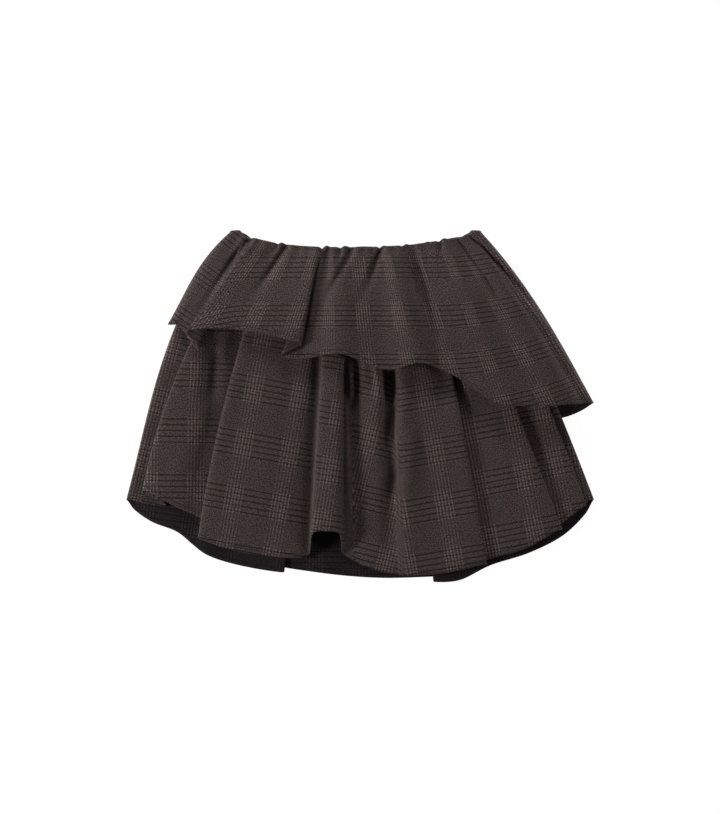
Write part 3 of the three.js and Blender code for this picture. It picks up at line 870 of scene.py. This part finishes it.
tier_front = {
    "face_up": True,
    "inset": False,
    "seam_end": 7.8,
    "step": 1.6,
    "eased": 3,
    "base": tier_front_base,
    "lift": lambda t: smooth(t / 0.09),
    "rows": [
        side(TIER_LEFT, (0, -2, -8)),
        fold("right over", line(-130, (-206.5, 90), 3), line(-138, (-192, 68)), (4, 6, 6.5)),
        rib(-104, (-163, 93), 0, (1, 4, 7), 2),
        rib(-77, (-112, 85.5), 0, (1, 6, 8), 5),
        fold("left over", line(-49, (-69, 75)), line(-43, (-94, 59)), (5, 7.5, 8.5), 7, 0),
        rib(-39, (-68, 57), 0, (0, 0, 0.5)),
        rib(-30, (-24, 62.5), 0, (1.5, 7, 9)),
        rib(-9, (4, 53.5), 0, (1, 4, 4)),
        rib(17, (35, 43), 0, (0.5, 1, 1.5)),
        rib(38, (71, 51.5), 0, (3, 10, 9)),
        rib(57, (101, 43), 0, (0, 2, 4)),
        rib(76, (134, 23), 0, (1, 3, 2)),
        rib(96, (163, 4), 0, (2, 7, 7)),
        rib(115, (217, 0.5), 2, (0, 3, 5)),
        rib(130, (254, 3), 5, (2, 5, 2)),
        side(TIER_RIGHT, (0, -2, -8)),
    ],
}
TIER_REPEAT = (48, 58)
surface, steps, cloth = sections(tier_front, np.linspace(0, 1, 76))
surface = bumped(with_casing(tier_front, surface, FRONT_GATHERS, steps))
tier_front_piece = cloth_object(
    "short_tier_front",
    surface,
    fanned(surface, steps, cloth),
    True,
    suiting("suiting of the short tier's front", 18.0, *TIER_REPEAT, RETURN_PAINTED_SHADE),
)
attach(tier_front_piece, "root")
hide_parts("overlay_front")

# The back of the short tier: the same suiting, flat on the table with its outside down. Only a strip of
# its inside shows at the right. Its top edge rolls over the same way and meets the front's at the seams.
tier_back = {
    "face_up": False,
    "inset": False,
    "seam_end": 7.8,
    "step": 4.0,
    "eased": 2,
    "base": lambda x, y: REST_Z + creases(BACK_GATHERS, x, y),
    "lift": np.ones_like,
    "rows": [
        side(TIER_LEFT, (0, 0, 0)),
        rib(-120, (-173, 82), 0, (0, 0, 0)),
        rib(-60, (-90, 60), 0, (0, 0, 0)),
        rib(0, (0, 34), 0, (0, 0, 0)),
        rib(50, (80, 8), 0, (0, 0, 0)),
        rib(90, (160, -14), 0, (0, 0, 0)),
        rib(122, (243, -14), 3, (0, 0, 0)),
        side(TIER_RIGHT, (0, 0, 0), slant=0.7),
    ],
}
surface, steps, cloth = sections(tier_back, np.linspace(0, 1, 50))
surface = bumped(with_casing(tier_back, surface, BACK_GATHERS, steps))
tier_back_piece = cloth_object(
    "short_tier_back",
    surface,
    fanned(surface, steps, cloth),
    False,
    suiting("suiting of the short tier's back", 0.0, *TIER_REPEAT, INSIDE_PAINTED_SHADE),
)
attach(tier_back_piece, "root")
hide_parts("overlay_back")

# The table: a plain white sheet under the skirt. The photo is a cut-out on white, so the table glows.
# Three low lights, on the left, on the right and beyond the waist, throw the folds' shadows across the
# cloth, and a pale surround fills them.
bpy.ops.mesh.primitive_plane_add(size=6, location=(0, 0, -0.0002))
table_top = bpy.context.object
table_top.name = "white_table"
white = bpy.data.materials.new("white table")
white.use_nodes = True
glow = white.node_tree.nodes["Principled BSDF"].inputs
glow["Base Color"].default_value = (0.1, 0.1, 0.1, 1)
glow["Emission Color"].default_value = (1, 1, 1, 1)
glow["Emission Strength"].default_value = 0.96
glow["Roughness"].default_value = 0.9
table_top.data.materials.append(white)

LIGHT_SIZE = 0.4
for name, energy, at in (
    ("low light on the left", 21, (-1.55, -0.15, 0.65)),
    ("low light on the right", 7, (1.55, -0.3, 0.6)),
    ("light beyond the waist", 16, (-0.2, 1.65, 0.68)),
):
    light = bpy.data.lights.new(name, "AREA")
    light.energy, light.size = energy, LIGHT_SIZE
    lamp = bpy.data.objects.new(name, light)
    lamp.location = at
    lamp.rotation_euler = (-Vector(at)).to_track_quat("-Z", "Y").to_euler()
    bpy.context.scene.collection.objects.link(lamp)

world = bpy.data.worlds.new("pale surround")
world.use_nodes = True
pale = world.node_tree.nodes["Background"].inputs
pale["Color"].default_value = (1, 1, 1, 1)
pale["Strength"].default_value = 0.085
bpy.context.scene.world = world
bpy.context.scene.view_settings.view_transform = "Standard"

# The camera looks straight down from 2.6 m. The photo shows 976.8 mm along its long side, measured on
# the cloth, about 10 mm above the table.
CAMERA_HEIGHT, CLOTH_HEIGHT = 2.6, 0.01
PHOTO_SIDE = 0.9768
camera = bpy.data.cameras.new("camera")
camera.sensor_width = 36
camera.lens = camera.sensor_width * (CAMERA_HEIGHT - CLOTH_HEIGHT) / PHOTO_SIDE
camera_object = bpy.data.objects.new("camera", camera)
camera_object.location = (0.0006, -0.0006, CAMERA_HEIGHT)
bpy.context.scene.collection.objects.link(camera_object)
bpy.context.scene.camera = camera_object
